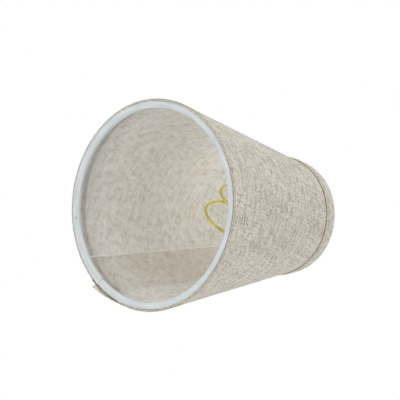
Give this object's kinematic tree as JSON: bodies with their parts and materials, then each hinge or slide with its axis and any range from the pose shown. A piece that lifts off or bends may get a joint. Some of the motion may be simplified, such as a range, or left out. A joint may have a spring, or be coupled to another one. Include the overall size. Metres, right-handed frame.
{
  "type": "lamp shade",
  "caption": "Small clip-on empire lamp shade: oatmeal fabric cone stiffened by film, taped bottom rim, self-fabric top band and a sprung wire bulb clip.",
  "frame": {"origin": "centre of the wide rim, in the plane that the rim stands on", "axes": "+Z from the wide bottom rim to the narrow top rim; the support bar runs along X and the two clip jaws face each other along Y"},
  "size_m": [0.1298, 0.1303, 0.15],
  "materials": {
    "oatmeal_fabric": "plain woven slub fabric, matt",
    "clear_film": "translucent styrene film, satin",
    "white_tape": "white rim tape, slightly glossy",
    "ring_wire": "bright drawn wire",
    "brass_plated_wire": "bright plated wire"
  },
  "bodies": {
    "shade": {"fabric_cover": "oatmeal_fabric", "film_liner": "clear_film", "rim_tape": "white_tape", "bottom_ring": "ring_wire", "top_ring": "ring_wire", "top_band": "oatmeal_fabric", "support_bar": "brass_plated_wire", "clip_bridge_left": "brass_plated_wire", "clip_bridge_right": "brass_plated_wire"},
    "jaw_a": {"jaw_a": "brass_plated_wire"},
    "jaw_b": {"jaw_b": "brass_plated_wire"}
  },
  "joints": [
    {"name": "jaw_a_spring", "type": "hinge", "parent": "shade", "child": "jaw_a", "pos_m": [0, 0.0037, 0.1211], "axis": [1, 0, 0], "range_deg": [0, 20], "stiffness_Nm_per_rad": 0.25},
    {"name": "jaw_b_spring", "type": "hinge", "parent": "shade", "child": "jaw_b", "pos_m": [0, -0.0037, 0.1211], "axis": [-1, 0, 0], "range_deg": [0, 20], "stiffness_Nm_per_rad": 0.25}
  ]
}
